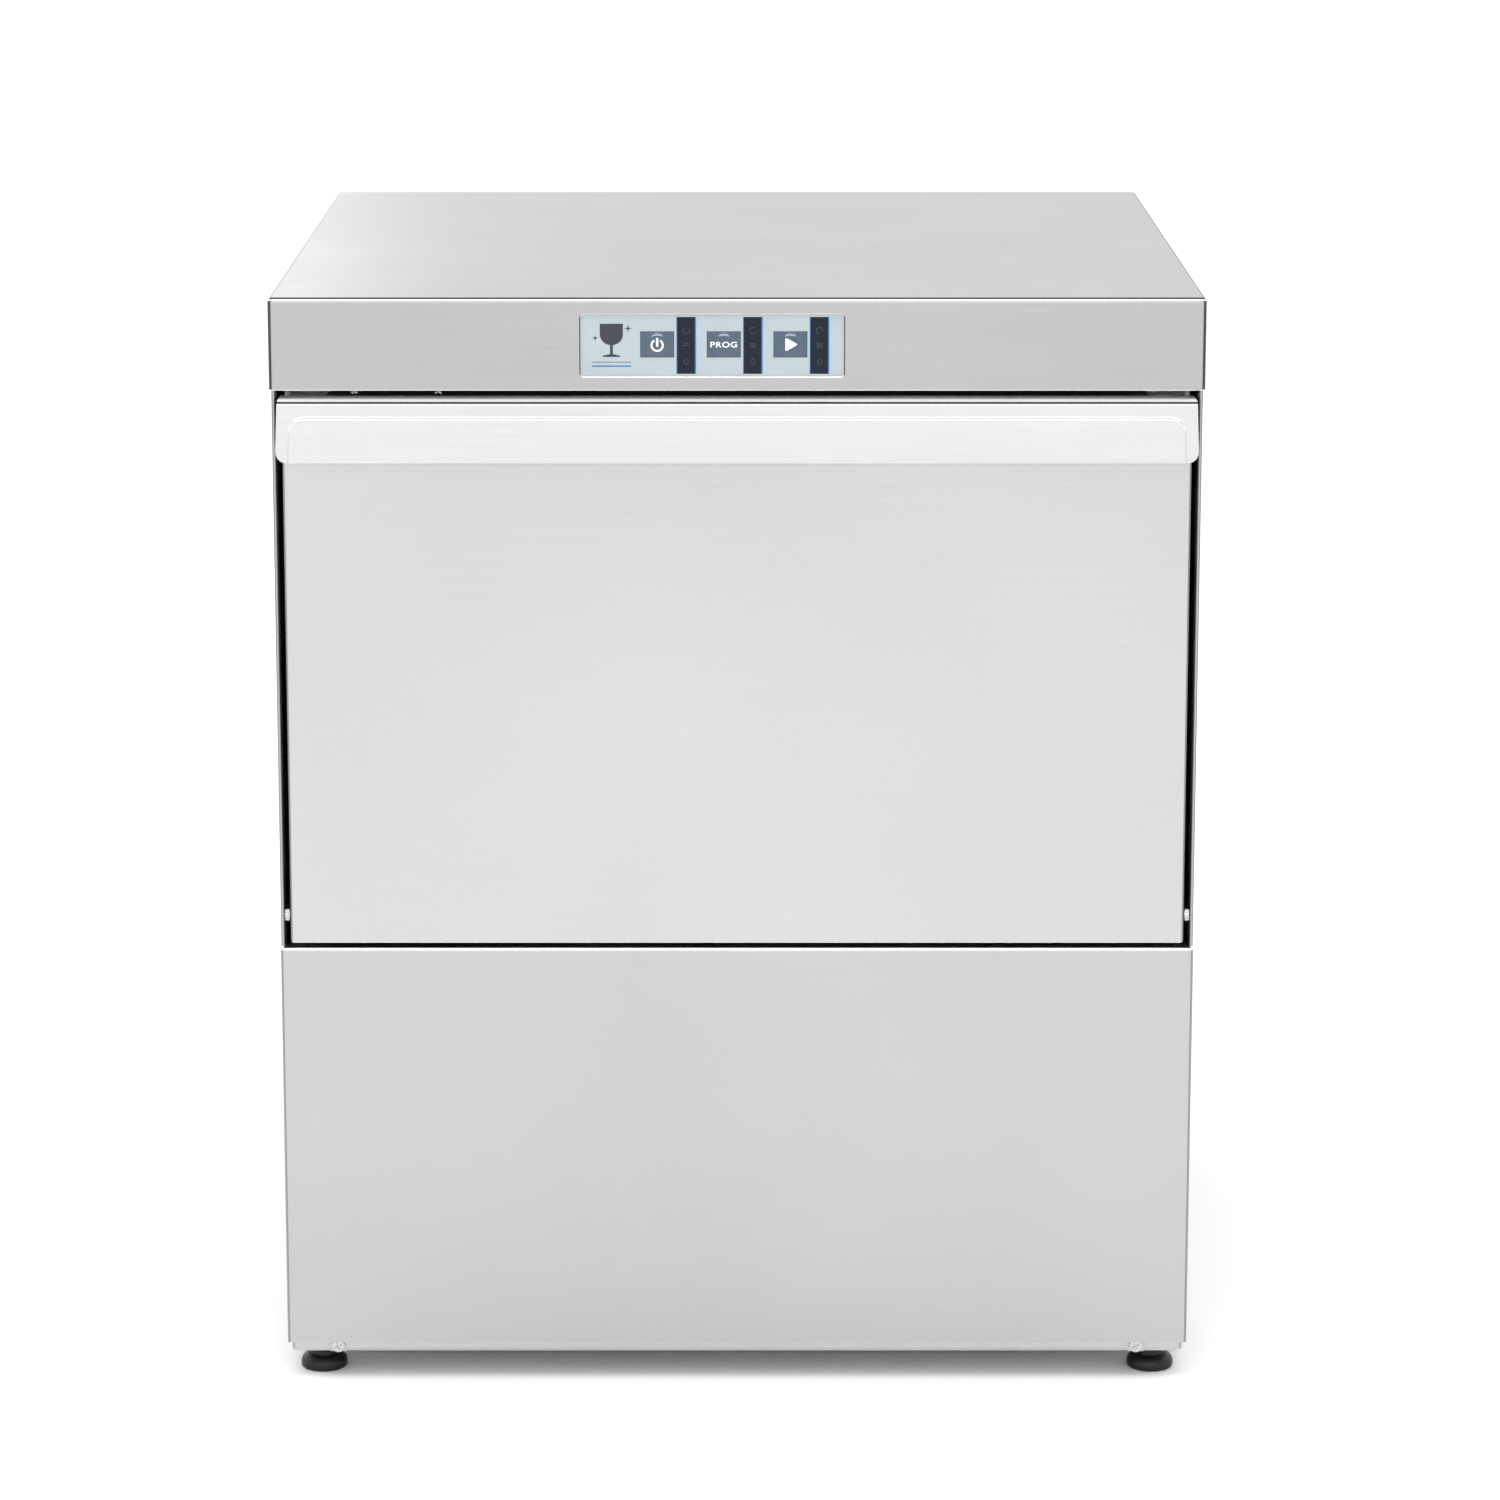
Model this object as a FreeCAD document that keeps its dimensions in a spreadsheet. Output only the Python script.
"""Front-loading glass washer: a stainless cabinet with a drop-down door, 600 mm wide.

Frame: +Z up, the front faces -Y, X runs to the right seen from the front. The origin lies on the
floor, midway between the sides and midway between the door handle and the rear connections.
Lengths are millimetres.
"""

import FreeCAD, Part

import math
import os

import Sketcher
from FreeCAD import Placement, Rotation, Vector

CABINET = {
    "cover_width": 600,  # top cover, left to right
    "cover_depth": 600,  # top cover, front to back
    "total_height": 725,  # floor to the top of the cover
    "fascia_drop": 60,  # height of the cover's front fascia
    "side_drop": 55,  # height of the cover's side flanges
    "cover_sheet": 1.2,  # sheet of the top cover and the handle
    "cover_fold": 3,  # outside bend radius of the cover
    "return_depth": 14,  # inward return under the fascia
    "return_bend": 1.1,  # outside radius of the bend under the fascia
    "steel": 1,  # sheet of every other panel
    "side_inset": 1.5,  # cover edge to the side panel's outer face
    "hem_width": 2.3,  # doubled front edge of a side panel
    "hem_depth": 12,
    "hem_nose": 0.9,
    "side_top_gap": 7,  # side panel's top to the lid's
    "side_end_gap": 1.5,  # side panel ends to the cabinet's front and rear planes
    "rear_flange": 15,
    "skirt_height": 25.5,  # floor to the bottom of the side and front panels
    "lower_panel_top": 296.5,
    "lower_panel_width": 598,
    "lower_panel_depth": 13.5,
    "panel_fold": 2.5,
    "base_height": 17.5,  # floor to the underside of the base tray
    "tray_rise": 30,
    "tray_inset": 3.5,
    "tray_fold": 3.2,
    "screw_x": 265.5,  # lower panel screws, from the mid-plane
    "screw_height": 22.5,
    "screw_head": 4.6,
    "screw_shank": 2,
    "screw_clearance": 0.1,
    "screw_head_height": 1.5,
    "rear_screw_head": 4,
    "rear_screw_inset": 9,  # rear screws from the side panel's outer face
    "vent_length": 70,
    "vent_height": 4,
    "vent_low": 170,
    "vent_pitch": 12,
    "vents": 9,
    "tab_width": 16,
    "tab_drop": 7,  # how far a tab hangs below the panel
    "tab_tip": 9.8,  # width of a tab's end
    "post_width": 20,
    "post_depth": 28,
    "post_wall": 1.5,
}
FEET = {
    "foot_x": 277,
    "foot_y": 272,
    "foot_pad": 15.5,  # radius of the pad
    "foot_pad_height": 9.5,
    "foot_pad_round": 6,
    "foot_sole_round": 2,
    "foot_stud": 5,  # radius of the stud
    "foot_stud_top": 48,
    "nut_height": 8,
    "nut_radius": 9,
    "stud_clearance": 0.08,
}
DOOR = {
    "door_width": 585.4,
    "door_low": 299,
    "door_top": 658.5,
    "door_front_gap": 1,  # cabinet front plane to the door's face
    "door_skin_depth": 21,
    "door_back": 31,  # door face to the back of the inner panel
    "inner_overlap": 13.8,  # door face to the inner panel's free edge
    "inner_inset": 1.2,
    "hinge_height": 317,
    "hinge_setback": 10,  # cabinet front plane to the hinge axis
    "pin_radius": 4,
    "pin_reach": 34,
    "door_hole": 4.8,
    "block_width": 12,  # bearing blocks on the pins
    "block_half": 7.9,
    "pin_clearance": 0.06,
    "bracket_sheet": 2.5,
    "bracket_nose": 5.5,
    "spring_wire": 1.1,
    "spring_gap": 2.4,  # pin to the middle of the spring's wire
    "spring_pitch": 2.6,
    "spring_turns": 5,
    "spring_inset": 15,  # door's side wall to the spring's outer end
    "handle_width": 588,
    "handle_top_reach": 12,
    "handle_reach": 29.3,
    "handle_drop": 37,
    "handle_hem": 6,
    "handle_bend": 4,
    "handle_corner": 7,
    "emboss_width": 570,
    "emboss_height": 26,
    "emboss_rise": 0.9,
    "emboss_corner": 8,
    "rib_x": 200,
    "rib_width": 24,
    "rib_rise": 12,
    "rib_low": 345,
    "rib_top": 640,
}
CHAMBER = {
    "chamber_width": 514,
    "chamber_setback": 41,  # cabinet front plane to the chamber's front edge
    "chamber_depth": 528,
    "chamber_low": 317,
    "chamber_top": 656,
    "chamber_corner": 12,
    "frame_width": 584,
    "frame_low": 322,
    "frame_top": 664,
    "sill_height": 340,
    "lintel_height": 648,
    "frame_corner": 8,
    "gasket_width": 14,
    "gasket_depth": 7.4,
    "gasket_margin": 2,
    "gasket_bulge": 3,
    "axis_y": 5,  # the spray arms' axis, behind the cabinet's middle
    "tank_width": 412,
    "tank_low": 225,
    "tank_corner": 20,
    "tank_mouth": 400,
    "filter_width": 416,
    "filter_sheet": 1.2,
    "slot_length": 156,
    "slot_width": 4,
    "slot_pitch": 12,
    "slot_start": 38,
    "slots": 33,
    "overflow_radius": 15,
    "overflow_headroom": 8,  # chamber floor to the pipe's rim
    "overflow_foot": 18,
    "overflow_foot_height": 6,
    "overflow_grip": 19,
    "overflow_grip_height": 8,
    "heater_rise": 34,  # tank floor to the heating element
    "heater_offset": 110,
    "heater_gap": 36,
    "heater_radius": 4,
    "heater_bend": 17,
    "heater_far_x": -60,
    "heater_flange": 5,
    "rail_height": 351,
    "rail_width": 20,
    "rail_drop": 22,
    "rail_sheet": 1.5,
    "basket_width": 498,
    "basket_height": 100,
    "basket_low": 353,
    "basket_wall": 3,
    "basket_bar": 3,
    "basket_cells": 12,
    "window_width": 54,
    "window_height": 52,
    "window_pitch": 69,
    "window_low": 24,
    "windows": 7,
}
ARMS = {
    "spindle_radius": 9,
    "hub_radius": 16,
    "hub_shoulder": 21,
    "hub_low": 205,
    "arm_clearance": 0.08,
    "wash_arm_reach": 232,
    "wash_arm_half_width": 16,
    "wash_arm_height": 10,
    "wash_hub_radius": 22,
    "wash_hub_height": 14,
    "rinse_arm_reach": 216,
    "rinse_arm_radius": 5,
    "rinse_bore": 3.5,
    "rinse_hub_radius": 15,
    "rinse_hub_height": 10,
    "arm_gap": 1,
    "nozzle_length": 12,
    "nozzle_width": 2.5,
    "nozzle_pitch": 34,
    "nozzle_start": 46,
    "nozzles": 6,
    "nozzle_depth": 6,
    "arm_wall": 1.5,
    "arm_corner": 10,
    "arm_edge": 2.5,
    "jet_radius": 2.2,
    "jet_height": 1.4,
    "jet_start": 48,
    "jet_pitch": 38,
    "jet_stagger": 9,
    "jets": 5,
    "nut_grip": 14,
    "nut_thick": 3,
}
CONTROLS = {
    "window_x": -15.9,  # middle of the control panel's aperture
    "window_z": 694.2,
    "aperture_width": 168.7,
    "aperture_height": 39.9,
    "aperture_corner": 2.5,
    "aperture_lip": 0.9,
    "panel_margin": 4,
    "panel_thick": 3,
    "key_width": 21.3,
    "key_height": 16.4,
    "key_thick": 2.4,
    "key_proud": 0.2,
    "key_gap": 0.2,
    "key_corner": 1.1,
    "key_pitch": 42.6,
    "key_first_x": -51.1,
    "strip_width": 12.6,
    "strip_height": 36.7,
    "strip_thick": 0.5,
    "strip_first_x": -32.5,
    "board_gap": 9,
    "board_thick": 1.6,
}
MACHINERY = {
    "motor_x": -235,
    "motor_y": -60,
    "motor_z": 105,
    "motor_radius": 56,
    "motor_length": 146,
    "motor_wall": 5,
    "stator_bore": 31,
    "stator_length": 70,
    "stator_start": 42,  # motor's end to the stator
    "fins": 4,
    "fin_pitch": 22,
    "fin_start": 45,
    "blades": 6,
    "volute_radius": 62,
    "volute_length": 44,
    "volute_wall": 3,
    "shaft_radius": 7,
    "shaft_clearance": 0.06,
    "rotor_radius": 30,
    "fan_radius": 44,
    "impeller_radius": 52,
    "suction_x": 110,
    "suction_radius": 20,
    "manifold_radius": 12,
    "manifold_bore": 10,
    "riser_y": 284,
    "riser_top": 692,
    "boiler_x": 205,
    "boiler_z": 112,
    "boiler_radius": 66,
    "boiler_length": 300,
    "boiler_wall": 1.5,
    "plate_y": -240,
    "plate_thick": 1.5,
    "plate_height": 180,
    "dosing_z": 110,
    "dosing_radius": 28,
    "dosing_depth": 22,
    "dosing_cavity": 24,
    "inlet_x": 150,
    "inlet_z": 90,
    "inlet_radius": 13.2,  # outside of the G 3/4 thread
    "inlet_bore": 9,
    "rear_reach": 30,  # rear panel to the end of the inlet thread
    "drain_x": -120,
    "drain_y": 130,
    "drain_z": 62,
    "drain_radius": 14,
    "drain_bore": 12,
    "gland_x": -230,
    "gland_z": 120,
    "gland_bore": 5,
    "gland_wall": 3,
    "gland_collar": 13,
    "saddle_width": 22,
    "flange_gap": 0.2,  # rear panel to the flanges of the fittings in it
    "clip_length": 26,  # rear panel to the end of the drain spigot
}

REAR_SCREW_LEVELS = (60, 360, 640)
SWITCH_SCREWS_X = (-247.8, -193.5)
SWITCH_SCREW_LEVEL = 657.6

ALONG = {
    "x": Rotation(Vector(0, 1, 0), 90),
    "y": Rotation(Vector(1, 0, 0), -90),
    "z": Rotation(),
}

doc = FreeCAD.newDocument("glass_washer")
sheet = doc.addObject("Spreadsheet::Sheet", "dims")


class Size:
    """A length, known both as a number and as the spreadsheet expression that gives it."""

    def __init__(self, value, text):
        self.value = value
        self.text = text

    def __float__(self):
        return self.value

    def __add__(self, other):
        return Size(self.value + float(other), f"({self.text} + {text_of(other)})")

    def __radd__(self, other):
        return Size(float(other) + self.value, f"({text_of(other)} + {self.text})")

    def __sub__(self, other):
        return Size(self.value - float(other), f"({self.text} - {text_of(other)})")

    def __rsub__(self, other):
        return Size(float(other) - self.value, f"({text_of(other)} - {self.text})")

    def __mul__(self, other):
        return Size(self.value * float(other), f"({self.text} * {text_of(other)})")

    __rmul__ = __mul__

    def __truediv__(self, other):
        return Size(self.value / float(other), f"({self.text} / {text_of(other)})")

    def __neg__(self):
        return Size(-self.value, f"(0 - {self.text})")


def text_of(size):
    return size.text if isinstance(size, Size) else str(float(size))


class Dimensions:
    """The spreadsheet's cells as attributes: d.cover_width is a Size."""

    def __getattr__(self, alias):
        return Size(float(sheet.get(alias)), f"dims.{alias}")


def fill_sheet():
    row = 0
    for group in (CABINET, FEET, DOOR, CHAMBER, ARMS, CONTROLS, MACHINERY):
        for alias, value in group.items():
            row += 1
            sheet.set(f"A{row}", alias)
            sheet.set(f"B{row}", str(value))
            sheet.setAlias(f"B{row}", alias)
    doc.recompute()


fill_sheet()
d = Dimensions()
FRONT = -(d.cover_depth / 2)
REAR = d.cover_depth / 2
DOOR_FACE = FRONT + d.door_front_gap
HINGE_Y = FRONT + d.hinge_setback
CHAMBER_FRONT = FRONT + d.chamber_setback
CHAMBER_FLOOR = d.chamber_low + d.steel
TRAY_FLOOR = d.base_height + d.steel
SIDE_X = d.cover_width / 2 - d.side_inset


# ---------------------------------------------------------------- primitives and booleans


def bind(obj, prop, size):
    """Sets a property to a number, or ties it to the spreadsheet."""
    if isinstance(size, Size):
        obj.setExpression(prop, size.text)
    else:
        setattr(obj, prop, size)


def put(obj, at, rotation=Rotation()):
    obj.Placement = Placement(Vector(*[float(c) for c in at]), rotation)
    for axis, c in zip("xyz", at):
        if isinstance(c, Size):
            obj.setExpression(f"Placement.Base.{axis}", c.text)
    return obj


def block(name, size, at):
    """A box; at is its lowest corner."""
    box = doc.addObject("Part::Box", name)
    for prop, length in zip(("Length", "Width", "Height"), size):
        bind(box, prop, length)
    return put(box, at)


def rod(name, radius, length, at, along="z"):
    """A cylinder that runs from at along an axis."""
    cylinder = doc.addObject("Part::Cylinder", name)
    bind(cylinder, "Radius", radius)
    bind(cylinder, "Height", length)
    return put(cylinder, at, ALONG[along])


def cone(name, radius, end_radius, length, at, along="z"):
    shape = doc.addObject("Part::Cone", name)
    bind(shape, "Radius1", radius)
    bind(shape, "Radius2", end_radius)
    bind(shape, "Height", length)
    return put(shape, at, ALONG[along])


def hexagon(name, radius, length, at, along="z"):
    prism = doc.addObject("Part::Prism", name)
    prism.Polygon = 6
    bind(prism, "Circumradius", radius)
    bind(prism, "Height", length)
    return put(prism, at, ALONG[along])


def fuse(name, *shapes):
    joined = doc.addObject("Part::MultiFuse", name)
    joined.Shapes = list(shapes)
    joined.Refine = True
    return joined


def cut(name, base, *tools):
    taken = doc.addObject("Part::Cut", name)
    taken.Base = base
    taken.Tool = tools[0] if len(tools) == 1 else fuse(name + "_tools", *tools)
    taken.Refine = True
    return taken


def group(name, *shapes):
    """Several separate solids that make one node."""
    compound = doc.addObject("Part::Compound", name)
    compound.Links = list(shapes)
    return compound


def mirrored(name, source):
    """The same piece on the other side of the mid-plane."""
    copy = doc.addObject("Part::Mirroring", name)
    copy.Source = source
    copy.Normal = Vector(1, 0, 0)
    return copy


def pair(name, one):
    """A piece and its mirror image, as one node."""
    return group(name, one, mirrored(name + "_other", one))


# ---------------------------------------------------------------- part design


def new_body(name):
    return doc.addObject("PartDesign::Body", name)


def origin_feature(body, role):
    return next(f for f in body.Origin.OriginFeatures if f.Role == role)


def sketch(body, plane, name, offset=0):
    """An empty sketch on one of the body's own planes, moved along the plane's normal."""
    made = body.newObject("Sketcher::SketchObject", name)
    made.AttachmentSupport = [(origin_feature(body, plane), "")]
    made.MapMode = "FlatFace"
    if isinstance(offset, Size) or offset:
        made.AttachmentOffset = Placement(Vector(0, 0, float(offset)), Rotation())
        if isinstance(offset, Size):
            made.setExpression("AttachmentOffset.Base.z", offset.text)
    return made


def locate(made, geometry, point, place):
    """Ties one point of a sketch to its place from the sketch's origin."""
    for kind, c in zip(("DistanceX", "DistanceY"), place):
        index = made.addConstraint(
            Sketcher.Constraint(kind, -1, 1, geometry, point, float(c))
        )
        if isinstance(c, Size):
            made.setExpression(f"Constraints[{index}]", c.text)


def polygon(made, points):
    """A closed outline through the points."""
    first = made.GeometryCount
    count = len(points)
    corners = [Vector(float(x), float(y), 0) for x, y in points]
    for i in range(count):
        made.addGeometry(Part.LineSegment(corners[i], corners[(i + 1) % count]), False)
    for i in range(count):
        after = first + (i + 1) % count
        made.addConstraint(Sketcher.Constraint("Coincident", first + i, 2, after, 1))
        locate(made, first + i, 1, points[i])


def rectangle(made, left, right, low, high):
    polygon(made, [(left, low), (right, low), (right, high), (left, high)])


def circle(made, x, y, radius):
    index = made.addGeometry(
        Part.Circle(Vector(float(x), float(y), 0), Vector(0, 0, 1), float(radius)), False
    )
    locate(made, index, 3, (x, y))
    drive = made.addConstraint(Sketcher.Constraint("Radius", index, float(radius)))
    if isinstance(radius, Size):
        made.setExpression(f"Constraints[{drive}]", radius.text)


def pad(body, made, length, backwards=False, midplane=False):
    feature = body.newObject("PartDesign::Pad", made.Name + "_pad")
    feature.Profile = made
    bind(feature, "Length", length)
    feature.Reversed = backwards
    feature.Midplane = midplane
    return finish(body, feature)


def pocket(body, made, length=None, backwards=False):
    """Cuts the sketch in against its normal, or along it if backwards; no length cuts through all."""
    feature = body.newObject("PartDesign::Pocket", made.Name + "_pocket")
    feature.Profile = made
    if length is None:
        feature.Type = "ThroughAll"
        feature.Midplane = True
    else:
        bind(feature, "Length", length)
        feature.Reversed = backwards
    return finish(body, feature)


def finish(body, feature):
    body.Tip = feature
    doc.recompute()
    return feature


def repeat(body, feature, axis, count, pitch):
    """The feature again and again along one of the body's axes."""
    pattern = body.newObject("PartDesign::LinearPattern", feature.Name + "_row")
    pattern.Originals = [feature]
    pattern.Direction = (origin_feature(body, axis), [""])
    pattern.Mode = "Spacing"
    bind(pattern, "Offset", pitch)
    bind(pattern, "Occurrences", count)
    return finish(body, pattern)


def side_value(box, side):
    return getattr(box, {"x": "X", "y": "Y", "z": "Z"}[side[1]] + ("Max" if side[0] == "+" else "Min"))


def lies_on(shape, whole, side):
    """Whether a face or edge lies in the plane of one side of the whole shape."""
    plane = side_value(whole.BoundBox, side)
    axis = side[1].upper()
    low = getattr(shape.BoundBox, axis + "Min")
    high = getattr(shape.BoundBox, axis + "Max")
    return abs(low - plane) < 1e-4 and abs(high - plane) < 1e-4


def fillet(body, radius, wanted):
    """Rounds the edges of the body's last feature that wanted(edge) picks."""
    base = body.Tip
    edges = [f"Edge{i}" for i, e in enumerate(base.Shape.Edges, 1) if wanted(e)]
    feature = body.newObject("PartDesign::Fillet", base.Name + "_round")
    feature.Base = (base, edges)
    bind(feature, "Radius", radius)
    return finish(body, feature)


def hollow(body, wall, open_sides):
    """Leaves a shell of the wall's thickness, open on the sides named."""
    base = body.Tip
    faces = [
        f"Face{i}"
        for i, f in enumerate(base.Shape.Faces, 1)
        if any(lies_on(f, base.Shape, side) for side in open_sides)
    ]
    feature = body.newObject("PartDesign::Thickness", base.Name + "_shell")
    feature.Base = (base, faces)
    bind(feature, "Value", wall)
    feature.Reversed = True
    return finish(body, feature)


def tray(body, radius, wall, open_sides):
    """Rounds a block's edges, except those of its open sides, and hollows it into a folded tray."""
    whole = body.Tip.Shape
    fillet(body, radius, lambda e: not any(lies_on(e, whole, s) for s in open_sides))
    return hollow(body, wall, open_sides)


def upright(edge):
    box = edge.BoundBox
    return box.XLength < 1e-4 and box.YLength < 1e-4


# ---------------------------------------------------------------- bent tubes


def bend_points(points, radius):
    """Straight runs joined by tangent arcs of one radius, as edges."""
    edges = []
    start = points[0]
    for before, corner, after in zip(points, points[1:], points[2:]):
        back = (before - corner).normalize()
        on = (after - corner).normalize()
        half = (math.pi - back.getAngle(on)) / 2
        reach = radius * math.tan(half)
        arc_in = corner + back * reach
        arc_out = corner + on * reach
        middle = (back + on).normalize()
        arc_mid = corner + middle * (radius / math.cos(half) - radius)
        edges.append(Part.LineSegment(start, arc_in).toShape())
        edges.append(Part.Arc(arc_in, arc_mid, arc_out).toShape())
        start = arc_out
    edges.append(Part.LineSegment(start, points[-1]).toShape())
    return edges


def swept(points, radius, bend):
    """A round bar along a bent path."""
    vectors = [Vector(*[float(c) for c in p]) for p in points]
    path = Part.Wire(bend_points(vectors, float(bend)))
    start = path.Edges[0]
    direction = start.tangentAt(start.FirstParameter)
    ring = Part.Wire(Part.makeCircle(float(radius), vectors[0], direction))
    return path.makePipeShell([ring], True, False)


def pipe(name, routes, radius, bore, bend):
    """One hose or pipe, with a slightly slimmer branch for each route after the first."""
    slimmer = 0.5
    outside = []
    inside = []
    for count, route in enumerate(routes):
        outside.append(swept(route, float(radius) - slimmer * count, bend))
        inside.append(swept(route, float(bore) - slimmer * count, bend))
    shape = outside[0]
    for branch in outside[1:]:
        shape = shape.fuse(branch)
    for hole in inside:
        shape = shape.cut(hole)
    feature = doc.addObject("Part::Feature", name)
    feature.Shape = shape
    return feature


# ---------------------------------------------------------------- cabinet


def base_tray():
    """Folded base with welded nuts for the levelling feet."""
    body = new_body("base_tray_sheet")
    half = d.cover_width / 2 - d.tray_inset
    plan = sketch(body, "XY_Plane", "base_plan")
    rectangle(plan, -half, half, -half, half)
    pad(body, plan, d.tray_rise)
    tray(body, d.tray_fold, d.steel, ["+z"])
    holes = sketch(body, "XY_Plane", "base_foot_holes")
    for sx in (-1, 1):
        for sy in (-1, 1):
            circle(holes, sx * d.foot_x, sy * d.foot_y, d.foot_stud + 1)
    pocket(body, holes, d.tray_fold, backwards=True)
    front = sketch(body, "XZ_Plane", "base_screw_holes", offset=half)
    for sx in (-1, 1):
        circle(front, sx * d.screw_x, d.screw_height - d.base_height, d.screw_shank + d.screw_clearance)
    pocket(body, front, d.tray_fold)
    put(body, (0, 0, d.base_height))
    nuts = []
    for sx in (-1, 1):
        for sy in (-1, 1):
            at = (sx * d.foot_x, sy * d.foot_y, TRAY_FLOOR)
            tag = f"{sx + 1}{sy + 1}"
            outer = hexagon("nut_hex" + tag, d.nut_radius, d.nut_height, at)
            bore = rod("nut_bore" + tag, d.foot_stud + d.stud_clearance, d.nut_height, at)
            nuts.append(cut("nut" + tag, outer, bore))
    return group("base_tray", body, *nuts)


def side_panel(name, mirror):
    """One side: a plate with a hemmed front edge and a rear flange, set back behind the lower panel."""
    body = new_body(name if not mirror else name + "_left")
    length = d.cover_depth - 2 * d.side_end_gap
    plan = sketch(body, "XY_Plane", body.Name + "_plan")
    outline = [
        (0, 0),
        (d.hem_width, 0),
        (d.hem_width, d.hem_depth),
        (d.steel, d.hem_depth),
        (d.steel, length - d.steel),
        (d.rear_flange, length - d.steel),
        (d.rear_flange, length),
        (0, length),
    ]
    polygon(plan, outline)
    pad(body, plan, d.total_height - d.skirt_height - d.side_top_gap)

    def corner(edge):
        box = edge.BoundBox
        return upright(edge) and (box.YMax < 1e-3 or (box.XMax < 1e-3 and box.YMin > 1))

    fillet(body, d.hem_nose, corner)
    notch = sketch(body, "YZ_Plane", body.Name + "_notch")
    step = d.lower_panel_depth - d.side_end_gap + 0.5
    rectangle(notch, -1, step, -1, d.lower_panel_top - d.skirt_height + 1)
    pocket(body, notch)
    holes = sketch(body, "XZ_Plane", body.Name + "_holes", offset=-length - 1)
    for level in REAR_SCREW_LEVELS:
        circle(holes, d.rear_screw_inset, level - d.skirt_height, d.screw_shank + d.screw_clearance)
    pocket(body, holes, d.steel + 3, backwards=True)
    put(body, (-SIDE_X, FRONT + d.side_end_gap, d.skirt_height))
    return mirrored(name, body) if mirror else body


def rear_panel():
    """Back plate with ventilation slots and the holes for water, drain and cable."""
    body = new_body("rear_panel")
    half = SIDE_X - d.side_inset
    low = d.skirt_height + 3
    face = sketch(body, "XZ_Plane", "rear_face")
    play = 0.4
    rectangle(face, -half, half, low, d.total_height - d.side_drop - 0.5)
    circle(face, d.inlet_x, d.inlet_z, d.inlet_radius + play)
    circle(face, d.drain_x, d.drain_z, d.drain_radius + play)
    circle(face, d.gland_x, d.gland_z, d.gland_bore + d.gland_wall + play)
    for side in (-1, 1):
        for level in REAR_SCREW_LEVELS:
            circle(face, side * (SIDE_X - d.rear_screw_inset), level, d.screw_shank + d.screw_clearance)
    pad(body, face, d.steel, backwards=True)
    slots = sketch(body, "XZ_Plane", "rear_slots")
    for left in (-2 * d.vent_length, d.vent_length):
        rectangle(slots, left, left + d.vent_length, d.vent_low, d.vent_low + d.vent_height)
    repeat(body, pocket(body, slots, 4 * d.steel), "Z_Axis", d.vents, d.vent_pitch)
    return put(body, (0, REAR - d.steel, 0))


def lower_front_panel():
    """Removable front panel with two tabs that slip under the base screws."""
    body = new_body("lower_front_panel")
    half = d.lower_panel_width / 2
    plan = sketch(body, "XY_Plane", "lower_plan")
    rectangle(plan, -half, half, 0, d.lower_panel_depth)
    pad(body, plan, d.lower_panel_top - d.skirt_height)
    tray(body, d.panel_fold, d.steel, ["+y", "-z"])
    tab_back = d.tray_inset - 0.1
    tab_front = tab_back - 0.8
    for side in (-1, 1):
        profile = sketch(body, "YZ_Plane", f"tab_profile{side + 1}", side * d.screw_x)
        outline = [
            (0.5, 7),
            (tab_front, 4.6),
            (tab_front, -d.tab_drop),
            (tab_back, -d.tab_drop),
            (tab_back, 5.4),
            (0.5, 13),
        ]
        polygon(profile, outline)
        pad(body, profile, d.tab_width, midplane=True)
    holes = sketch(body, "XZ_Plane", "tab_holes")
    for side in (-1, 1):
        level = d.screw_height - d.skirt_height
        circle(holes, side * d.screw_x, level, d.screw_shank + 0.3)
        for edge in (-1, 1):
            root = side * d.screw_x + edge * (d.tab_width / 2 + 1)
            tip = side * d.screw_x + edge * d.tab_tip / 2
            polygon(holes, [(root, -0.4), (root, -d.tab_drop - 1), (tip, -d.tab_drop - 1), (tip, -d.tab_drop)])
    pocket(body, holes, d.lower_panel_depth)
    return put(body, (0, FRONT, d.skirt_height))


def top_cover():
    """Lid and fascia in one folded piece, with the aperture for the control panel."""
    body = new_body("top_cover")
    half = d.cover_width / 2
    plan = sketch(body, "XY_Plane", "cover_plan")
    rectangle(plan, -half, half, 0, d.cover_depth)
    pad(body, plan, d.fascia_drop)
    tray(body, d.cover_fold, d.cover_sheet, ["-z"])
    trim = sketch(body, "YZ_Plane", "cover_trim")
    rectangle(trim, 4, d.cover_depth + 1, -1, d.fascia_drop - d.side_drop)
    pocket(body, trim)
    shelf = sketch(body, "XY_Plane", "cover_return")
    inside = half - 6
    rectangle(shelf, -inside, inside, 0.6, d.return_depth)
    pad(body, shelf, d.cover_sheet)
    aperture = sketch(body, "XZ_Plane", "cover_aperture")
    middle = d.window_z - (d.total_height - d.fascia_drop)
    rectangle(
        aperture,
        d.window_x - d.aperture_width / 2,
        d.window_x + d.aperture_width / 2,
        middle - d.aperture_height / 2,
        middle + d.aperture_height / 2,
    )
    pocket(body, aperture, 3 * d.cover_sheet)
    reach = float(d.aperture_width) / 2 + 0.01
    window_x = float(d.window_x)

    def near(edge):
        box = edge.BoundBox
        return box.YMax < 1.3 and abs(box.Center.x - window_x) < reach and box.ZMin > 8

    fillet(body, d.aperture_corner, lambda e: near(e) and e.BoundBox.YLength > 1)
    fillet(body, d.aperture_lip, lambda e: near(e) and e.BoundBox.YMax < 1e-3 and e.BoundBox.ZMax < 55)
    folded = body.Tip.Shape
    fillet(body, d.return_bend, lambda e: lies_on(e, folded, "-y") and lies_on(e, folded, "-z"))
    return put(body, (0, FRONT, d.total_height - d.fascia_drop))


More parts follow.
